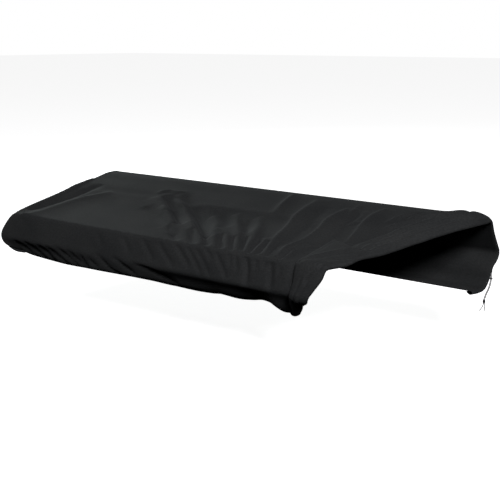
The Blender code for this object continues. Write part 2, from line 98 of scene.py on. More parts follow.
# The mouth, from the front hem to the back hem: girth and x of its fold, girth and x where the
# turned-back flap ends, and how high the flap puffs up between the two
MOUTH = (
    (-0.157, -0.300, -0.150, -0.312, 0.003),
    (-0.130, -0.272, -0.122, -0.286, 0.004),
    (-0.112, -0.255, -0.106, -0.276, 0.004),
    (-0.098, -0.242, -0.090, -0.272, 0.005),
    (-0.087, -0.230, -0.076, -0.262, 0.006),
    (-0.075, -0.217, -0.064, -0.2555, 0.007),
    (-0.060, -0.206, -0.050, -0.252, 0.008),
    (-0.0475, -0.1975, -0.036, -0.2495, 0.009),
    (-0.022, -0.1815, -0.010, -0.2495, 0.010),
    (-0.005, -0.1767, 0.014, -0.2515, 0.010),
    (0.004, -0.164, 0.034, -0.250, 0.010),
    (0.025, -0.147, 0.078, -0.249, 0.010),
    (0.040, -0.1425, 0.106, -0.250, 0.010),
    (0.056, -0.1405, 0.137, -0.249, 0.010),
    (0.070, -0.1355, 0.1236, -0.2244, 0.010),
    (0.085, -0.124, 0.107, -0.200, 0.011),
    (0.096, -0.1155, 0.094, -0.180, 0.011),
    (0.106, -0.1086, 0.117, -0.187, 0.012),
    (0.130, -0.0977, 0.145, -0.176, 0.013),
    (0.155, -0.086, 0.177, -0.162, 0.013),
    (0.177, -0.076, 0.200, -0.150, 0.014),
    (0.205, -0.058, 0.238, -0.136, 0.015),
    (0.232, -0.040, 0.276, -0.116, 0.015),
    (0.270, -0.019, 0.315, -0.096, 0.016),
    (0.3055, -0.0005, 0.338, -0.071, 0.017),
    (0.340, 0.006, 0.360, -0.046, 0.014),
    (0.378, 0.006, 0.388, -0.036, 0.012),
    (0.410, 0.002, 0.412, -0.030, 0.010),
    (0.450, -0.002, 0.450, -0.024, 0.008),
    (0.515, -0.004, 0.515, -0.019, 0.004),
    (0.555, -0.009, 0.555, -0.026, 0.004),
    (0.605, -0.018, 0.600, -0.038, 0.004),
    (0.668, -0.028, 0.652, -0.046, 0.003),
)

# Folds: height of the ridge, negative for a trough, its half width on the left and on the right of its
# line, and the line itself in x and g
FOLDS = {
    "left_corner_ridge": (0.0045, 0.009, 0.052, ((-1.144, 0.004), (-1.114, 0.022), (-1.102, 0.056),
                                                 (-1.094, 0.104), (-1.077, 0.160), (-1.053, 0.193),
                                                 (-1.026, 0.229))),
    "corner_lip": (0.0042, 0.005, 0.006, ((-1.128, 0.006), (-1.144, -0.002), (-1.156, -0.012),
                                          (-1.170, -0.027))),
    "left_end_trough": (-0.0080, 0.014, 0.013, ((-1.158, 0.030), (-1.146, 0.090), (-1.136, 0.143),
                                                (-1.124, 0.195), (-1.108, 0.262))),
    "left_end_roll": (0.0075, 0.012, 0.012, ((-1.185, 0.010), (-1.184, 0.120), (-1.182, 0.300))),
    "corner_bulge": (0.0090, 0.030, 0.036, ((-0.058, 0.366), (-0.056, 0.385), (-0.056, 0.404))),
    "dent_one": (-0.0150, 0.011, 0.022, ((-0.848, 0.246), (-0.790, 0.206), (-0.729, 0.156),
                                         (-0.662, 0.101))),
    "dent_two": (-0.0150, 0.012, 0.020, ((-0.806, 0.262), (-0.738, 0.219), (-0.663, 0.163),
                                         (-0.600, 0.106), (-0.538, 0.047))),
    "dent_ridge": (0.0081, 0.016, 0.010, ((-0.812, 0.249), (-0.768, 0.218), (-0.702, 0.166),
                                          (-0.634, 0.109), (-0.572, 0.059), (-0.518, 0.010))),
    "dent_shoulder": (0.0069, 0.022, 0.010, ((-0.866, 0.232), (-0.815, 0.198), (-0.748, 0.149),
                                             (-0.680, 0.097))),
    "dent_hollow": (-0.0050, 0.018, 0.020, ((-0.850, 0.170), (-0.790, 0.138), (-0.735, 0.104),
                                            (-0.690, 0.074))),
    "ridge_a": (0.0050, 0.012, 0.018, ((-0.506, 0.376), (-0.494, 0.300), (-0.475, 0.228))),
    "ridge_b": (0.0065, 0.014, 0.022, ((-0.420, 0.350), (-0.407, 0.232), (-0.388, 0.150),
                                       (-0.371, 0.086), (-0.342, 0.009))),
    "ridge_c": (0.0075, 0.012, 0.020, ((-0.315, 0.318), (-0.320, 0.240), (-0.308, 0.163),
                                       (-0.308, 0.103), (-0.319, 0.072), (-0.309, 0.012))),
    "ridge_d": (0.0065, 0.012, 0.020, ((-0.226, 0.344), (-0.233, 0.300), (-0.223, 0.210),
                                       (-0.210, 0.135))),
    "trough_bc": (-0.0040, 0.016, 0.016, ((-0.372, 0.310), (-0.362, 0.190), (-0.345, 0.090))),
    "trough_cd": (-0.0040, 0.018, 0.018, ((-0.278, 0.300), (-0.272, 0.200), (-0.268, 0.080))),
    "front_seam_crease": (-0.0040, 0.009, 0.009, ((-0.385, -0.006), (-0.379, -0.030), (-0.378, -0.066))),
    "front_flap_crease": (-0.0040, 0.010, 0.010, ((-0.318, -0.006), (-0.315, -0.030), (-0.313, -0.066))),
    # Crests along the ridges and the corner, and small arcs above the dents. All that follows is only on
    # the fine sheet
    "crest_a": (0.0023, 0.004, 0.006, ((-0.506, 0.372), (-0.494, 0.300), (-0.475, 0.226))),
    "crest_b": (0.0032, 0.004, 0.007, ((-0.426, 0.348), (-0.413, 0.232), (-0.394, 0.150),
                                       (-0.377, 0.086), (-0.348, 0.009))),
    "crest_c": (0.0034, 0.004, 0.007, ((-0.321, 0.316), (-0.326, 0.240), (-0.314, 0.163),
                                       (-0.314, 0.103), (-0.325, 0.072), (-0.314, 0.012))),
    "crest_d": (0.0030, 0.004, 0.007, ((-0.229, 0.342), (-0.238, 0.304), (-0.235, 0.260),
                                       (-0.226, 0.205), (-0.215, 0.132))),
    "crest_e": (0.0030, 0.005, 0.008, ((-0.306, 0.352), (-0.298, 0.300), (-0.287, 0.250),
                                       (-0.294, 0.222))),
    "crest_f": (0.0023, 0.005, 0.008, ((-0.269, 0.312), (-0.261, 0.270), (-0.263, 0.228))),
    "crest_g": (0.0034, 0.005, 0.007, ((-0.268, 0.110), (-0.288, 0.092), (-0.301, 0.072),
                                       (-0.295, 0.037), (-0.292, 0.005))),
    "corner_crest": (0.0030, 0.004, 0.022, ((-1.149, 0.000), (-1.120, 0.020), (-1.108, 0.056),
                                            (-1.100, 0.104), (-1.083, 0.160), (-1.059, 0.193),
                                            (-1.032, 0.229))),
    "arc_one": (0.0036, 0.005, 0.005, ((-0.884, 0.252), (-0.878, 0.274), (-0.860, 0.283), (-0.842, 0.276))),
    "arc_two": (0.0034, 0.005, 0.005, ((-0.840, 0.274), (-0.828, 0.284), (-0.808, 0.282))),
    "arc_hollow_one": (-0.0012, 0.005, 0.006, ((-0.872, 0.258), (-0.860, 0.264), (-0.846, 0.258))),
    "arc_hollow_two": (-0.0012, 0.005, 0.006, ((-0.832, 0.262), (-0.820, 0.267), (-0.804, 0.264))),
    # The knee of the top, which fades out on the left
    "knee_flat": (-0.0022, 0.022, 0.022, ((-1.165, 0.232), (-1.000, 0.232), (-0.870, 0.232))),
    "knee_crest": (0.0016, 0.012, 0.012, ((-0.790, 0.222), (-0.643, 0.224), (-0.510, 0.226),
                                          (-0.400, 0.226))),
    "knee_hollow": (-0.0050, 0.042, 0.042, ((-0.770, 0.170), (-0.640, 0.166), (-0.510, 0.168),
                                            (-0.380, 0.172))),
    # Soft tension folds that fan out from the middle of the top to the front edge
    "fan_1": (0.0053, 0.012, 0.012, ((-0.797, 0.179), (-0.733, 0.127), (-0.681, 0.086), (-0.640, 0.040))),
    "fan_2": (0.0062, 0.014, 0.012, ((-0.634, 0.181), (-0.586, 0.142), (-0.548, 0.088), (-0.512, 0.047),
                                     (-0.478, 0.003))),
    "fan_3": (0.0067, 0.010, 0.009, ((-0.552, 0.110), (-0.518, 0.090), (-0.480, 0.050), (-0.439, 0.004))),
    "fan_4": (0.0077, 0.014, 0.009, ((-0.574, 0.206), (-0.536, 0.160), (-0.501, 0.122), (-0.458, 0.063),
                                     (-0.413, 0.004))),
    "fan_5": (0.0077, 0.016, 0.009, ((-0.505, 0.205), (-0.475, 0.168), (-0.447, 0.118), (-0.418, 0.065),
                                     (-0.390, 0.008))),
    "fan_6": (0.0055, 0.008, 0.007, ((-0.405, 0.100), (-0.393, 0.080), (-0.381, 0.040), (-0.371, 0.007))),
    # Pockets behind the front top edge
    "pocket_1": (-0.0081, 0.006, 0.012, ((-0.692, 0.080), (-0.655, 0.051), (-0.600, 0.007))),
    "pocket_2": (-0.0081, 0.006, 0.010, ((-0.616, 0.078), (-0.578, 0.037), (-0.544, 0.005))),
    "pocket_3": (-0.0069, 0.006, 0.007, ((-0.560, 0.064), (-0.530, 0.034), (-0.504, 0.008))),
    "pocket_4": (-0.0088, 0.007, 0.008, ((-0.521, 0.076), (-0.496, 0.042), (-0.460, 0.007))),
    "pocket_5": (-0.0081, 0.006, 0.007, ((-0.482, 0.073), (-0.459, 0.040), (-0.431, 0.005))),
    "pocket_6": (-0.0085, 0.006, 0.007, ((-0.454, 0.088), (-0.435, 0.052), (-0.408, 0.008))),
    "pocket_7": (-0.0077, 0.006, 0.006, ((-0.412, 0.074), (-0.400, 0.040), (-0.386, 0.006))),
    "pocket_8": (-0.0069, 0.005, 0.006, ((-0.388, 0.084), (-0.376, 0.046), (-0.365, 0.008))),
    "streak_1": (-0.0052, 0.012, 0.014, ((-0.640, 0.218), (-0.590, 0.172), (-0.544, 0.129))),
    "streak_2": (-0.0059, 0.010, 0.012, ((-0.530, 0.182), (-0.500, 0.145), (-0.470, 0.106))),
    "pocket_9": (-0.0052, 0.005, 0.006, ((-0.356, 0.078), (-0.346, 0.042), (-0.337, 0.008))),
    "pocket_10": (-0.0052, 0.005, 0.006, ((-0.306, 0.060), (-0.304, 0.030), (-0.303, 0.004))),
    # Creases down the front
    "front_a": (-0.0030, 0.006, 0.007, ((-0.852, -0.012), (-0.825, -0.044))),
    "front_b": (-0.0036, 0.006, 0.007, ((-0.765, -0.008), (-0.731, -0.047))),
    "front_c": (-0.0036, 0.006, 0.007, ((-0.698, -0.006), (-0.673, -0.032), (-0.653, -0.054))),
    "front_1": (-0.0040, 0.005, 0.006, ((-0.648, -0.006), (-0.618, -0.034), (-0.587, -0.060))),
    "front_2": (-0.0040, 0.005, 0.006, ((-0.594, -0.004), (-0.566, -0.028), (-0.539, -0.053))),
    "front_3": (-0.0040, 0.004, 0.005, ((-0.557, -0.006), (-0.532, -0.031), (-0.503, -0.066))),
    "front_4": (-0.0036, 0.004, 0.005, ((-0.534, -0.006), (-0.510, -0.025), (-0.487, -0.052),
                                        (-0.473, -0.066))),
    "front_5": (-0.0030, 0.004, 0.005, ((-0.501, -0.004), (-0.475, -0.026))),
    "front_6": (-0.0040, 0.004, 0.005, ((-0.473, -0.005), (-0.448, -0.036), (-0.430, -0.064))),
    "front_7": (-0.0030, 0.004, 0.005, ((-0.432, -0.006), (-0.423, -0.034))),
    "front_8": (-0.0034, 0.004, 0.005, ((-0.416, -0.006), (-0.402, -0.042))),
    "front_9": (-0.0046, 0.004, 0.005, ((-0.386, -0.004), (-0.379, -0.030), (-0.378, -0.066))),
    "front_10": (-0.0026, 0.004, 0.005, ((-0.358, -0.006), (-0.355, -0.028))),
    "front_11": (-0.0026, 0.004, 0.005, ((-0.335, -0.005), (-0.331, -0.026))),
    "front_12": (-0.0034, 0.004, 0.005, ((-0.318, -0.004), (-0.315, -0.025), (-0.313, -0.066))),
    "front_13": (-0.0024, 0.004, 0.005, ((-0.289, -0.010), (-0.294, -0.040))),
    "front_14": (-0.0030, 0.004, 0.005, ((-0.258, 0.010), (-0.261, -0.021), (-0.266, -0.052))),
    # Wrinkles behind the band, which run together at the back right corner
    "back_cleft": (-0.0097, 0.006, 0.008, ((-0.162, 0.232), (-0.152, 0.261), (-0.131, 0.291),
                                           (-0.110, 0.320), (-0.080, 0.352))),
    "back_crest_1": (0.0065, 0.004, 0.005, ((-0.168, 0.236), (-0.163, 0.255), (-0.156, 0.280),
                                            (-0.144, 0.306))),
    "back_crest_2": (0.0059, 0.004, 0.005, ((-0.152, 0.300), (-0.140, 0.318), (-0.118, 0.340),
                                            (-0.088, 0.364))),
    "back_crest_3": (0.0049, 0.004, 0.006, ((-0.186, 0.262), (-0.182, 0.290), (-0.170, 0.320),
                                            (-0.148, 0.348))),
    "back_crest_4": (0.0042, 0.004, 0.005, ((-0.266, 0.226), (-0.256, 0.238), (-0.246, 0.244))),
    # Gathers that the drawn-in hem makes under the front
    "gather_1": (-0.0060, 0.005, 0.006, ((-1.170, -0.076), (-1.143, -0.086), (-1.118, -0.100))),
    "gather_2": (-0.0060, 0.005, 0.006, ((-1.130, -0.072), (-1.094, -0.087), (-1.062, -0.112))),
    "gather_3": (-0.0060, 0.005, 0.006, ((-1.078, -0.074), (-1.047, -0.089), (-1.022, -0.114))),
    "gather_4": (-0.0060, 0.005, 0.006, ((-1.040, -0.074), (-1.001, -0.091), (-0.961, -0.110))),
    "gather_5": (-0.0060, 0.005, 0.006, ((-1.001, -0.068), (-0.967, -0.083), (-0.925, -0.106))),
    "gather_6": (-0.0060, 0.005, 0.006, ((-0.960, -0.070), (-0.925, -0.088), (-0.888, -0.106))),
    "gather_7": (-0.0060, 0.005, 0.006, ((-0.910, -0.076), (-0.886, -0.102))),
    "gather_8": (-0.0060, 0.005, 0.006, ((-0.880, -0.080), (-0.850, -0.100))),
    "gather_9": (-0.0060, 0.005, 0.006, ((-0.847, -0.064), (-0.823, -0.081), (-0.807, -0.096),
                                         (-0.775, -0.108))),
    "gather_10": (-0.0060, 0.005, 0.006, ((-0.795, -0.064), (-0.768, -0.074), (-0.748, -0.086),
                                          (-0.722, -0.102))),
    "gather_11": (-0.0060, 0.005, 0.006, ((-0.724, -0.072), (-0.672, -0.079), (-0.645, -0.087),
                                          (-0.600, -0.102))),
}

# Creases of the flap alone, laid out as the folds are
FLAP_CREASES = {
    "ear_crease": (-0.0034, 0.004, 0.005, ((-0.247, 0.003), (-0.211, 0.024), (-0.178, 0.062),
                                           (-0.145, 0.072))),
    "ear_diagonal": (-0.0039, 0.004, 0.005, ((-0.180, 0.006), (-0.196, -0.013), (-0.219, -0.037))),
    "ear_parallel": (-0.0034, 0.004, 0.004, ((-0.196, 0.006), (-0.184, 0.020), (-0.166, 0.036),
                                             (-0.139, 0.061))),
    "ear_ridge": (0.0034, 0.005, 0.005, ((-0.238, 0.020), (-0.214, 0.044), (-0.190, 0.078))),
    "ear_fold": (0.0031, 0.004, 0.005, ((-0.222, 0.118), (-0.196, 0.100), (-0.182, 0.084), (-0.184, 0.066))),
}
# Long folds of the flap: height, half width as a share of the flap, and the girth and the share from the
# fold to the free edge at both ends
FLAP_LINES = {
    "hem_seam": (-0.0010, 0.030, (-0.060, 0.88), (0.600, 0.88)),
    "band_one": (0.0046, 0.070, (0.080, 0.18), (0.375, 0.10)),
    "band_two": (-0.0057, 0.060, (0.080, 0.36), (0.370, 0.26)),
    "band_three": (0.0042, 0.055, (0.085, 0.50), (0.360, 0.42)),
    "band_four": (-0.0049, 0.060, (0.120, 0.68), (0.350, 0.58)),
    "band_five": (0.0031, 0.050, (0.100, 0.80), (0.340, 0.74)),
    "cuff_one": (-0.0016, 0.080, (-0.086, 0.30), (-0.012, 0.36)),
    "cuff_two": (0.0010, 0.070, (-0.092, 0.50), (-0.030, 0.48)),
    "cuff_three": (-0.0018, 0.070, (-0.088, 0.68), (-0.030, 0.62)),
}

# How the front hem is turned in below its crease: girth, how far in and how far up, and the share of
# it along the cover: x and share
TURN_IN = (
    (-0.158, 0.025, -0.006), (-0.135, 0.025, -0.006), (-0.116, 0.027, -0.001), (-0.102, 0.026, 0.001),
    (-0.087, 0.0185, 0.000), (-0.072, 0.003, 0.000), (-0.066, 0.000, 0.000),
)
TURN_IN_SHARE = ((-1.165, 0.75), (-1.060, 0.75), (-0.980, 0.40), (-0.860, 0.15), (-0.760, 0.30),
                 (-0.620, 1.00))
TURN_IN_CORNER = 0.060       # distance round the left corner over which that share fades
# How much the hem's underside rises or falls along the front: x and height
HEM_RISE = ((-1.300, 0.008), (-1.220, 0.008), (-1.185, 0.001), (-1.150, -0.006), (-1.100, -0.009),
            (-1.040, -0.011), (-0.970, -0.009), (-0.900, -0.006), (-0.760, -0.004), (-0.700, -0.005),
            (-0.640, -0.008), (-0.570, -0.009), (-0.520, -0.007), (-0.490, -0.004), (-0.440, -0.006),
            (-0.400, -0.002), (-0.370, 0.003), (-0.345, 0.000), (-0.325, -0.009), (-0.308, -0.014),
            (-0.295, -0.013), (-0.283, -0.009), (-0.272, -0.003), (-0.262, 0.001), (-0.250, 0.006),
            (-0.235, 0.008))
HEM_RISE_GIRTHS = (-0.072, -0.104)    # where the rise starts and where it is whole
# Where the top sinks at the back right corner: depth, x and girth of its middle, half widths of both
BACK_DIP = (0.014, 0.010, 0.375, 0.045, 0.050)

# The drawcord, as in the part
STRAND = 0.0018              # diameter of a strand
STRAND_APART = 0.0024        # distance between the strands' middles
TOUCH_GAP = 0.0003           # gap between pieces that touch
CORD_STEP = 0.0042           # distance between points of a strand
CORD_GIRTH_STEP = 0.122      # how far down the back the strands leave the flap's free edge
CORD_STRAIGHT = 0.0030       # length that they run straight out of the hem
HEM_GAP = 0.0013             # gap between the curved hem and the middle of the two strands' ends
EDGE_BEFORE = 0.8            # share of the flap at which the way of its free edge is read
CORD_HANG = ((-0.0256, 0.4690, 0.0610), (-0.0244, 0.4720, 0.0500), (-0.0218, 0.4700, 0.0280),
             (-0.0205, 0.4670, 0.0080), (-0.0205, 0.4660, -0.0060), (-0.0225, 0.4640, -0.0200),
             (-0.0290, 0.4615, -0.0400), (-0.0315, 0.4600, -0.0510))
TURN_LENGTH = 0.014          # length over which the strands turn to hang side by side
LOCK_LENGTH = 0.0085
LOCK_GAP = 4 * TOUCH_GAP     # the gaps over and under the lock together
CORD_BEVEL = 4               # steps in a quarter of the cord's round section
LONG_END = ((0.0, 0.0, 0.0), (-0.0010, -0.0008, -0.0060), (-0.0045, -0.0015, -0.0130),
            (-0.0085, -0.0018, -0.0190))
SHORT_END = ((0.0, 0.0, 0.0), (0.0008, 0.0010, -0.0060), (0.0004, 0.0014, -0.0130),
             (-0.0006, 0.0014, -0.0195))

# Camera and floor
CAMERA_PLACE = (1.422, -1.735, 0.427)
CAMERA_LOOK = (-0.5970, 0.7703, -0.2242)
CAMERA_LENS = 66.67          # mm, on the sensor's width
CAMERA_SENSOR = 36.0
CAMERA_REACH = 50.0
FLOOR_HEIGHT = -0.30
FLOOR_HALF = 30.0
FLOOR_GLOW = 0.9             # the floor's own light, which keeps it pale

# Lights: place, the point they look at, side of the square, power and tint
LIGHTS = {
    "back_left_light": ((-3.9, 2.2, 1.25), (-0.1, 0.0, 0.0), 0.7, 38.0, (0.92, 1.0, 0.97)),
    "left_light": ((-1.6, -3.2, 2.9), (-0.1, 0.0, 0.0), 0.9, 40.0, (1.0, 0.99, 1.015)),
    "front_light": ((2.9, -2.35, 2.2), (-0.1, 0.0, 0.0), 0.9, 174.0, (1.0, 0.99, 1.015)),
}
WORLD_LIGHT = 0.028          # strength of the faint light from above


def read_curve(knots, values, tangents, wanted):
    """Reads a curve through values at knots with the given tangents there."""
    wanted = np.clip(wanted, knots[0], knots[-1])
    cell = np.clip(np.searchsorted(knots, wanted) - 1, 0, len(knots) - 2)
    width = knots[cell + 1] - knots[cell]
    t = (wanted - knots[cell]) / width
    start = (2 * t**3 - 3 * t**2 + 1) * values[cell] + (t**3 - 2 * t**2 + t) * width * tangents[cell]
    end = (3 * t**2 - 2 * t**3) * values[cell + 1] + (t**3 - t**2) * width * tangents[cell + 1]
    return start + end


def round_curve(knots, values, wanted):
    """A rounded curve through values given at knots."""
    knots = np.asarray(knots, float)
    values = np.asarray(values, float)
    widths = np.diff(knots)
    slopes = np.diff(values) / widths
    middle = (slopes[:-1] * widths[1:] + slopes[1:] * widths[:-1]) / (widths[1:] + widths[:-1])
    return read_curve(knots, values, np.concatenate((slopes[:1], middle, slopes[-1:])), wanted)


def level_curve(knots, values, wanted):
    """A smooth curve through values given at knots that never goes past them."""
    knots = np.asarray(knots, float)
    values = np.asarray(values, float)
    widths = np.diff(knots)
    slopes = np.diff(values) / widths
    product = slopes[:-1] * slopes[1:]
    mean = 2.0 * product / np.where(product > 0.0, slopes[:-1] + slopes[1:], 1.0)
    middle = np.where(product > 0.0, mean, 0.0)
    return read_curve(knots, values, np.concatenate((slopes[:1], middle, slopes[-1:])), wanted)


SECTION_Y, SECTION_Z = np.array(SECTION).T
SECTION_GIRTH = np.concatenate(([0.0], np.cumsum(np.hypot(np.diff(SECTION_Y), np.diff(SECTION_Z)))))
SECTION_GIRTH -= SECTION_GIRTH[FRONT_EDGE_ROW]
FRONT_GIRTH = SECTION_GIRTH[0]
BACK_EDGE_GIRTH = SECTION_GIRTH[BACK_EDGE_ROW]
BACK_GIRTH = SECTION_GIRTH[-1]


def section(girth):
    """Depth and height of the outer face at a girth, along the straight part of the cover."""
    return (round_curve(SECTION_GIRTH, SECTION_Y, girth), round_curve(SECTION_GIRTH, SECTION_Z, girth))


def base_point(x, girth):
    """A point of the smooth outer face without folds. Left of the top's edge it turns down the end."""
    x = np.asarray(x, float)
    girth = np.asarray(girth, float)
    down_left = np.maximum(LEFT_END - x, 0.0)
    down_front = np.maximum(-girth, 0.0) * SKIRT_LENGTH / -FRONT_GIRTH
    down_back = np.maximum(girth - BACK_EDGE_GIRTH, 0.0) * SKIRT_LENGTH / (BACK_GIRTH - BACK_EDGE_GIRTH)
    down_side = np.maximum(down_front, down_back)
    down = np.maximum(down_left, down_side)
    table = np.array(LEFT_SKIRT).T
    left_out = round_curve(table[0], table[1], down)
    left_share = round_curve(table[0], table[2], down)

    at_left = down_left > 0.0
    in_corner = at_left & (down_side > 0.0)
    turned = np.where(in_corner, 0.5 * np.minimum(down_left, down_side) / np.maximum(down, 1e-9), 0.0)
    turned = np.where(in_corner & (down_side > down_left), 1.0 - turned, turned)
    turned = np.where(at_left, turned, 1.0) * math.pi / 2
    toward_left = np.abs(np.cos(turned)) ** CORNER_POWER * at_left
    toward_side = np.where(at_left, np.abs(np.sin(turned)) ** CORNER_POWER, 1.0)

    side_girth = np.where(down_front > 0.0, down * FRONT_GIRTH / SKIRT_LENGTH,
                          BACK_EDGE_GIRTH + down * (BACK_GIRTH - BACK_EDGE_GIRTH) / SKIRT_LENGTH)
    foot_girth = np.clip(girth, 0.0, BACK_EDGE_GIRTH)
    side_y, side_z = section(np.where(down_side > 0.0, side_girth, girth))
    foot_y, foot_z = section(foot_girth)
    along = np.where(at_left, LEFT_END - left_out * toward_left, x)
    y = foot_y + (side_y - foot_y) * toward_side
    left_z = HEM_HEIGHT + (foot_z - HEM_HEIGHT) * left_share
    share = np.sin(turned) ** 2
    z = np.where(at_left, left_z * (1.0 - share) + side_z * share, side_z)
    y = np.where(at_left & (down_side <= 0.0), foot_y, y)
    inward, rise = turned_hem(x, girth)
    depth, dip_x, dip_girth, half_x, half_girth = BACK_DIP
    dip = depth * np.exp(-((x - dip_x) / half_x) ** 2 - ((girth - dip_girth) / half_girth) ** 2)
    return np.stack([along, y + inward, z + rise - dip], axis=-1)


def turned_hem(x, girth):
    """How far the front hem is turned in at a place, and how much its underside rises."""
    girths, inward, upward = np.array(TURN_IN).T
    share_table = np.array(TURN_IN_SHARE).T
    share = level_curve(share_table[0], share_table[1], x)
    share = share * np.clip(1.0 - (LEFT_END - x) / TURN_IN_CORNER, 0.0, 1.0)
    start, whole = HEM_RISE_GIRTHS
    under = np.clip((start - girth) / (start - whole), 0.0, 1.0)
    table = np.array(HEM_RISE).T
    rise = level_curve(table[0], table[1], x) * under * under * (3.0 - 2.0 * under)
    return (level_curve(girths, inward, girth) * share,
            level_curve(girths, upward, girth) * share + rise)


def base_normal(x, girth):
    """Outward direction of the smooth outer face."""
    step = NORMAL_STEP
    along = base_point(x + step, girth) - base_point(x - step, girth)
    around = base_point(x, girth + step) - base_point(x, girth - step)
    normal = np.cross(along, around)
    return normal / np.linalg.norm(normal, axis=-1, keepdims=True)


def on_cloth(x, girth, lift):
    """A point at a lift above the smooth outer face, measured from the mount under the top."""
    lifted = base_point(x, girth) + base_normal(x, girth) * np.asarray(lift)[..., None]
    return lifted - np.array(UNDER_TOP)


def fold_relief(x, girth, folds):
    """Height of a table's folds above the smooth face."""
    height = np.zeros_like(x)
    for rise, left_width, right_width, line in folds.values():
        points = np.array(line)
        reach = FOLD_REACH * max(left_width, right_width)
        near = (x > points[:, 0].min() - reach) & (x < points[:, 0].max() + reach)
        near &= (girth > points[:, 1].min() - reach) & (girth < points[:, 1].max() + reach)
        if not near.any():
            continue
        lengths = np.concatenate(([0.0], np.cumsum(np.hypot(*np.diff(points, axis=0).T))))
        fine = np.linspace(0.0, lengths[-1], FOLD_POINTS)
        line_x = round_curve(lengths, points[:, 0], fine)
        line_g = round_curve(lengths, points[:, 1], fine)
        apart_x = x[near][:, None] - line_x
        apart_g = girth[near][:, None] - line_g
        nearest = np.argmin(apart_x**2 + apart_g**2, axis=-1)
        near_x = np.take_along_axis(apart_x, nearest[:, None], -1)[:, 0]
        near_g = np.take_along_axis(apart_g, nearest[:, None], -1)[:, 0]
        width = np.where(near_x < 0.0, left_width, right_width)
        from_middle = 2.0 * fine[nearest] / lengths[-1] - 1.0
        taper = np.sqrt(np.clip(1.0 - from_middle**2, 0.0, 1.0))
        height[near] += rise * taper * np.exp(-(near_x**2 + near_g**2) / width**2)
    return height


def line_relief(girth, back):
    """Height of the flap's long folds in one row."""
    height = np.zeros_like(back)
    for rise, width, (first_girth, first_share), (last_girth, last_share) in FLAP_LINES.values():
        along = np.clip((girth - first_girth) / (last_girth - first_girth), 0.0, 1.0)
        middle = first_share + (last_share - first_share) * along
        taper = math.sqrt(1.0 - (2.0 * along - 1.0) ** 2)
        height += rise * taper * np.exp(-((back - middle) / width) ** 2)
    return height


def mouth_at(girth):
    """Where the fold lies at a girth, where its flap ends, and how high the flap puffs up."""
    table = np.array(MOUTH).T
    return [level_curve(table[0], column, girth) for column in table[1:]]


def sheet_rows():
    """Girths of the rows of the grid."""
    before_edge, after_edge = EDGE_GIRTHS
    bands = ((FRONT_GIRTH, UNDER_GIRTH, HEM_ROW_STEP), (UNDER_GIRTH, before_edge, ROW_STEP),
             (before_edge, after_edge, EDGE_ROW_STEP), (after_edge, BACK_EDGE_GIRTH, ROW_STEP),
             (BACK_EDGE_GIRTH, BACK_GIRTH, BACK_ROW_STEP))
    rows = [np.linspace(low, high, round((high - low) / step), endpoint=False) for low, high, step in bands]
    return np.concatenate((*rows, [BACK_GIRTH]))


def flap_path(girth, back):
    """x, girth and lift of the flap in one row, from its fold (0) to its free edge (1)."""
    fold_x, end_girth, end_x, puff = (float(value) for value in mouth_at(girth))
    loop_middle = fold_x - MOUTH_LOOP
    flap_x = loop_middle + (end_x - loop_middle) * back
    flap_girth = girth + (end_girth - girth) * back
    flap_lift = 2.0 * MOUTH_LOOP * (1.0 - back) + FLAP_REST * back
    flap_lift += PUFF_SHARE * puff * np.clip(np.sin(math.pi * back), 0.0, 1.0) ** FLAP_POWER
    flap_lift += fold_relief(flap_x, flap_girth, FOLDS) * back
    flap_lift += fold_relief(flap_x, flap_girth, FLAP_CREASES) + line_relief(girth, back)
    return flap_x, flap_girth, flap_lift


def sheet_row(girth):
    """The points of one row, from the left hem to the flap's free edge, and how far along it they are."""
    fold_x = float(mouth_at(girth)[0])
    loop_middle = fold_x - MOUTH_LOOP
    wide = round(LYING_COLUMNS * (1.0 - FOLDED_COLUMNS))
    shares = np.concatenate((np.linspace(0.0, PLAIN_LENGTH, wide, endpoint=False),
                             np.linspace(PLAIN_LENGTH, 1.0, LYING_COLUMNS - wide)))
    skirt_x = np.linspace(LEFT_END - SKIRT_LENGTH, LEFT_END, SKIRT_COLUMNS, endpoint=False)
    lying_x = np.concatenate((skirt_x, LEFT_END + (loop_middle - LEFT_END) * shares))
    lying_girth = np.full_like(lying_x, girth)

    turn = np.linspace(0.0, math.pi, LOOP_STEPS + 2)[1:-1]
    loop_x = loop_middle + MOUTH_LOOP * np.sin(turn)
    loop_lift = MOUTH_LOOP * (1.0 - np.cos(turn))

    flap_x, flap_girth, flap_lift = flap_path(girth, np.linspace(0.0, 1.0, FLAP_STEPS + 1))
    xs = np.concatenate((lying_x, loop_x, flap_x))
    girths = np.concatenate((lying_girth, np.full_like(loop_x, girth), flap_girth))
    lifts = np.concatenate((fold_relief(lying_x, lying_girth, FOLDS), loop_lift, flap_lift))
    points = on_cloth(xs, girths, lifts)
    along = np.concatenate(([0.0], np.cumsum(np.linalg.norm(np.diff(points, axis=0), axis=1))))
    return points, along


def add_object(name, data, material):
    """Puts a shape in the scene as one named piece with its finish."""
    data.materials.append(material)
    piece = bpy.data.objects.new(name, data)
    bpy.context.collection.objects.link(piece)
    return piece


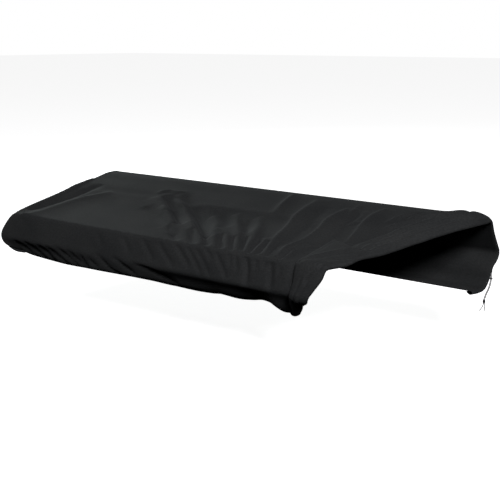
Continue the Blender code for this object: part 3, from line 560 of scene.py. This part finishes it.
def make_cover(material):
    """The whole cloth as one fine sheet with its folds, hem and turned-back flap."""
    girths = sheet_rows()
    rows = [sheet_row(girth) for girth in girths]
    points = np.array([row[0] for row in rows])
    along = np.array([row[1] for row in rows])
    count, width = along.shape
    index = np.arange(count * width).reshape(count, width)
    faces = np.stack((index[:-1, :-1], index[:-1, 1:], index[1:, 1:], index[1:, :-1]), axis=-1)
    mesh = bpy.data.meshes.new("cover_cloth")
    mesh.from_pydata(points.reshape(-1, 3).tolist(), [], faces.reshape(-1, 4).tolist())
    layout = mesh.uv_layers.new(name="cloth")
    corners = np.zeros(len(mesh.loops), np.int64)
    mesh.loops.foreach_get("vertex_index", corners)
    flat = np.stack((along, np.broadcast_to(girths[:, None], along.shape)), axis=-1).reshape(-1, 2)
    layout.data.foreach_set("uv", flat[corners].astype(np.float32).ravel())
    mesh.shade_smooth()
    cover = add_object("cover_cloth", mesh, material)
    thick = cover.modifiers.new("cloth_thickness", "SOLIDIFY")
    thick.thickness = CLOTH_THICK
    thick.offset = -1.0
    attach(cover, "root")
    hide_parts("cover")


def edge_points(girth):
    """A point of the flap in one row a little before its free edge, and the point on the edge."""
    return on_cloth(*flap_path(girth, np.array((EDGE_BEFORE, 1.0))))


def cord_route():
    """The middle line of the two strands, from the flap's hem to the top of the lock, and the way that
    the hem runs where they leave it."""
    before, edge = edge_points(BACK_EDGE_GIRTH + CORD_GIRTH_STEP)
    outward = (edge - before) / np.linalg.norm(edge - before)
    down_hem = edge_points(BACK_EDGE_GIRTH + CORD_GIRTH_STEP + CORD_STRAIGHT)[1] - edge
    across = np.cross(down_hem, outward)
    across /= np.linalg.norm(across)
    start = edge + outward * HEM_GAP + across * CLOTH_THICK / 2 * np.sign(across[1])
    hanging = np.array(CORD_HANG) - np.array(UNDER_TOP)
    route = np.concatenate(((start, start + outward * CORD_STRAIGHT), hanging))
    return route, np.cross(outward, across)


def even_points(route):
    """Evenly spaced points on a smooth curve through a route, and their lengths along it."""
    lengths = np.concatenate(([0.0], np.cumsum(np.linalg.norm(np.diff(route, axis=0), axis=1))))
    even = np.linspace(0.0, lengths[-1], round(lengths[-1] / CORD_STEP) + 1)
    return np.stack([round_curve(lengths, route[:, axis], even) for axis in range(3)], axis=1), even


def make_cord(name, points, material):
    """One strand of the drawcord as a round cord, from the hem to its free end."""
    data = bpy.data.curves.new(name, "CURVE")
    data.dimensions = "3D"
    data.bevel_depth = STRAND / 2
    data.bevel_resolution = CORD_BEVEL
    data.use_fill_caps = True
    spline = data.splines.new("POLY")
    spline.points.add(len(points) - 1)
    for place, point in zip(spline.points, points):
        place.co = (*point, 1.0)
    cord = add_object(name, data, material)
    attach(cord, "root")
    length = float(np.linalg.norm(np.diff(points, axis=0), axis=1).sum())
    return cord, length


def make_drawcord(cord_finish, lock_finish):
    """Both strands with their free ends, and the finish of the knot and the lock on them."""
    route, hem_way = cord_route()
    points, lengths = even_points(route)
    turn = np.clip(lengths / TURN_LENGTH, 0.0, 1.0)[:, None] * math.pi / 2
    hem_way *= -np.sign(hem_way[2])
    apart = STRAND_APART / 2 * (hem_way * np.cos(turn) + np.array((1.0, 0.0, 0.0)) * np.sin(turn))
    under_lock = points[-1] - np.array((0.0, 0.0, LOCK_GAP + LOCK_LENGTH))
    for node, finish in (("cord_knot", cord_finish), ("cord_lock", lock_finish)):
        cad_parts[node].data.materials.clear()
        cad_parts[node].data.materials.append(finish)
    for side, name, end_name, hang in ((-1.0, "drawcord_left", "cord_end_left", LONG_END),
                                       (1.0, "drawcord_right", "cord_end_right", SHORT_END)):
        end_points, _ = even_points(under_lock + np.array(hang))
        end_points[:, 0] += side * STRAND_APART / 2
        whole = np.concatenate((points + side * apart, end_points))
        cord, length = make_cord(f"{name}_cord", whole, cord_finish)
        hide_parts(name, end_name)


def link(tree, source, target):
    """Joins two sockets of a material or of the surrounding."""
    tree.links.new(source, target)


def new_finish(name, roughness):
    """An empty finish with its roughness set: the material, its nodes and its shader."""
    material = bpy.data.materials.new(name)
    material.use_nodes = True
    tree = material.node_tree
    shader = tree.nodes["Principled BSDF"]
    shader.inputs["Roughness"].default_value = roughness
    return material, tree, shader


def add_ramp(tree, low, high, low_place=0.0, high_place=1.0):
    """A ramp between two colours at two places."""
    ramp = tree.nodes.new("ShaderNodeValToRGB")
    for element, place, colour in zip(ramp.color_ramp.elements, (low_place, high_place), (low, high)):
        element.position = place
        element.color = (*colour, 1.0)
    return ramp


def add_waves(tree, direction, scale, distortion=0.0):
    """Fine parallel ribs."""
    waves = tree.nodes.new("ShaderNodeTexWave")
    waves.bands_direction = direction
    waves.inputs["Scale"].default_value = scale
    waves.inputs["Distortion"].default_value = distortion
    return waves


def add_bump(tree, height, shader, strength, depth):
    """Fine relief of a finish from a height."""
    bump = tree.nodes.new("ShaderNodeBump")
    bump.inputs["Strength"].default_value = strength
    bump.inputs["Distance"].default_value = depth
    link(tree, height, bump.inputs["Height"])
    link(tree, bump.outputs["Normal"], shader.inputs["Normal"])


def make_cloth_finish():
    """Black knitted stretch cloth: fine ribs and rows of loops, a weak sheen, uneven dye and a fine
    speckle."""
    material, tree, shader = new_finish("black_stretch_cloth", 0.85)
    shader.inputs["Specular IOR Level"].default_value = 0.10
    shader.inputs["Sheen Weight"].default_value = 0.03
    shader.inputs["Sheen Roughness"].default_value = 0.45
    shader.inputs["Sheen Tint"].default_value = (0.80, 0.84, 0.88, 1.0)

    place = tree.nodes.new("ShaderNodeUVMap")
    place.uv_map = "cloth"
    ribs = add_waves(tree, "X", 320.0, 0.6)
    loops = add_waves(tree, "Y", 380.0, 0.6)
    weave = tree.nodes.new("ShaderNodeMath")
    weave.operation = "MULTIPLY"
    link(tree, place.outputs["UV"], ribs.inputs["Vector"])
    link(tree, place.outputs["UV"], loops.inputs["Vector"])
    link(tree, ribs.outputs["Fac"], weave.inputs[0])
    link(tree, loops.outputs["Fac"], weave.inputs[1])

    patches = tree.nodes.new("ShaderNodeTexNoise")
    patches.inputs["Scale"].default_value = 9.0
    patches.inputs["Detail"].default_value = 4.0
    link(tree, place.outputs["UV"], patches.inputs["Vector"])
    dye = add_ramp(tree, (0.0165, 0.0175, 0.0180), (0.0225, 0.0235, 0.0235), 0.30, 0.75)
    link(tree, patches.outputs["Fac"], dye.inputs["Fac"])
    grain = tree.nodes.new("ShaderNodeTexNoise")
    grain.inputs["Scale"].default_value = 260.0
    grain.inputs["Detail"].default_value = 3.0
    grain.inputs["Roughness"].default_value = 0.7
    flecks = add_ramp(tree, (0.80, 0.80, 0.80), (1.20, 1.20, 1.20), 0.38, 0.62)
    mottled = tree.nodes.new("ShaderNodeMix")
    mottled.data_type = "RGBA"
    mottled.blend_type = "MULTIPLY"
    mottled.inputs[0].default_value = 1.0
    link(tree, place.outputs["UV"], grain.inputs["Vector"])
    link(tree, grain.outputs["Fac"], flecks.inputs["Fac"])
    link(tree, dye.outputs["Color"], mottled.inputs[6])
    link(tree, flecks.outputs["Color"], mottled.inputs[7])
    link(tree, mottled.outputs[2], shader.inputs["Base Color"])
    add_bump(tree, weave.outputs["Value"], shader, 0.10, 0.0002)
    return material


def make_cord_finish():
    """Black braided cord."""
    material, tree, shader = new_finish("black_cord", 0.70)
    place = tree.nodes.new("ShaderNodeTexCoord")
    braid = add_waves(tree, "DIAGONAL", 420.0)
    colours = add_ramp(tree, (0.014, 0.014, 0.015), (0.040, 0.040, 0.041))
    link(tree, place.outputs["Object"], braid.inputs["Vector"])
    link(tree, braid.outputs["Fac"], colours.inputs["Fac"])
    link(tree, colours.outputs["Color"], shader.inputs["Base Color"])
    add_bump(tree, braid.outputs["Fac"], shader, 0.6, 0.0002)
    return material


def make_lock_finish():
    """Black moulded plastic with a fine grain."""
    material, tree, shader = new_finish("black_lock", 0.42)
    place = tree.nodes.new("ShaderNodeTexCoord")
    grain = tree.nodes.new("ShaderNodeTexNoise")
    grain.inputs["Scale"].default_value = 1500.0
    colours = add_ramp(tree, (0.012, 0.012, 0.013), (0.022, 0.022, 0.023))
    link(tree, place.outputs["Object"], grain.inputs["Vector"])
    link(tree, grain.outputs["Fac"], colours.inputs["Fac"])
    link(tree, colours.outputs["Color"], shader.inputs["Base Color"])
    add_bump(tree, grain.outputs["Fac"], shader, 0.25, 0.0001)
    return material


def make_camera():
    """The camera at the photograph's place and angle."""
    data = bpy.data.cameras.new("camera")
    data.lens = CAMERA_LENS
    data.sensor_width = CAMERA_SENSOR
    data.clip_end = CAMERA_REACH
    camera = bpy.data.objects.new("camera", data)
    bpy.context.collection.objects.link(camera)
    camera.location = CAMERA_PLACE
    camera.rotation_euler = Vector(CAMERA_LOOK).to_track_quat("-Z", "Y").to_euler()
    bpy.context.scene.camera = camera


def make_floor():
    """A plain pale floor, which the object neither reflects nor takes light from."""
    mesh = bpy.data.meshes.new("floor")
    signs = ((-1, -1), (1, -1), (1, 1), (-1, 1))
    corners = [(side * FLOOR_HALF, end * FLOOR_HALF, 0.0) for side, end in signs]
    mesh.from_pydata(corners, [], [(0, 1, 2, 3)])
    material, _, shader = new_finish("pale_floor", 0.9)
    shader.inputs["Base Color"].default_value = (0.95, 0.95, 0.95, 1.0)
    shader.inputs["Specular IOR Level"].default_value = 0.0
    shader.inputs["Emission Color"].default_value = (1.0, 1.0, 1.0, 1.0)
    shader.inputs["Emission Strength"].default_value = FLOOR_GLOW
    floor = add_object("floor", mesh, material)
    floor.location = (0.0, 0.0, FLOOR_HEIGHT)
    floor.visible_diffuse = False
    floor.visible_glossy = False


def make_light(name, place, target, size, power, tint):
    """A soft square light that looks at a point."""
    data = bpy.data.lights.new(name, "AREA")
    data.size = size
    data.energy = power
    data.color = tint
    lamp = bpy.data.objects.new(name, data)
    bpy.context.collection.objects.link(lamp)
    lamp.location = place
    lamp.rotation_euler = (Vector(target) - Vector(place)).to_track_quat("-Z", "Y").to_euler()


def make_light_set():
    """Soft lights from behind the left end, from the left and from the front, a faint light from above,
    and a white surrounding that only the camera sees."""
    for name, settings in LIGHTS.items():
        make_light(name, *settings)
    world = bpy.data.worlds.new("surrounding")
    world.use_nodes = True
    tree = world.node_tree
    background = tree.nodes["Background"]
    background.inputs["Strength"].default_value = WORLD_LIGHT
    direction = tree.nodes.new("ShaderNodeTexCoord")
    height = tree.nodes.new("ShaderNodeSeparateXYZ")
    shade = add_ramp(tree, (0.03, 0.03, 0.03), (1.0, 1.0, 1.0), 0.52, 0.75)
    rise = tree.nodes.new("ShaderNodeMath")
    rise.operation = "MULTIPLY_ADD"
    rise.inputs[1].default_value = 0.5
    rise.inputs[2].default_value = 0.5
    link(tree, direction.outputs["Generated"], height.inputs["Vector"])
    link(tree, height.outputs["Z"], rise.inputs[0])
    link(tree, rise.outputs["Value"], shade.inputs["Fac"])
    link(tree, shade.outputs["Color"], background.inputs["Color"])
    seen = tree.nodes.new("ShaderNodeBackground")
    seen.inputs["Color"].default_value = (1.0, 1.0, 1.0, 1.0)
    seen.inputs["Strength"].default_value = 1.0
    path = tree.nodes.new("ShaderNodeLightPath")
    mix = tree.nodes.new("ShaderNodeMixShader")
    output = tree.nodes["World Output"]
    link(tree, path.outputs["Is Camera Ray"], mix.inputs["Fac"])
    link(tree, background.outputs["Background"], mix.inputs[1])
    link(tree, seen.outputs["Background"], mix.inputs[2])
    link(tree, mix.outputs["Shader"], output.inputs["Surface"])
    bpy.context.scene.world = world


make_camera()
make_cover(make_cloth_finish())
make_drawcord(make_cord_finish(), make_lock_finish())
make_floor()
make_light_set()
bpy.context.scene.view_settings.view_transform = "Standard"
bpy.context.view_layer.update()
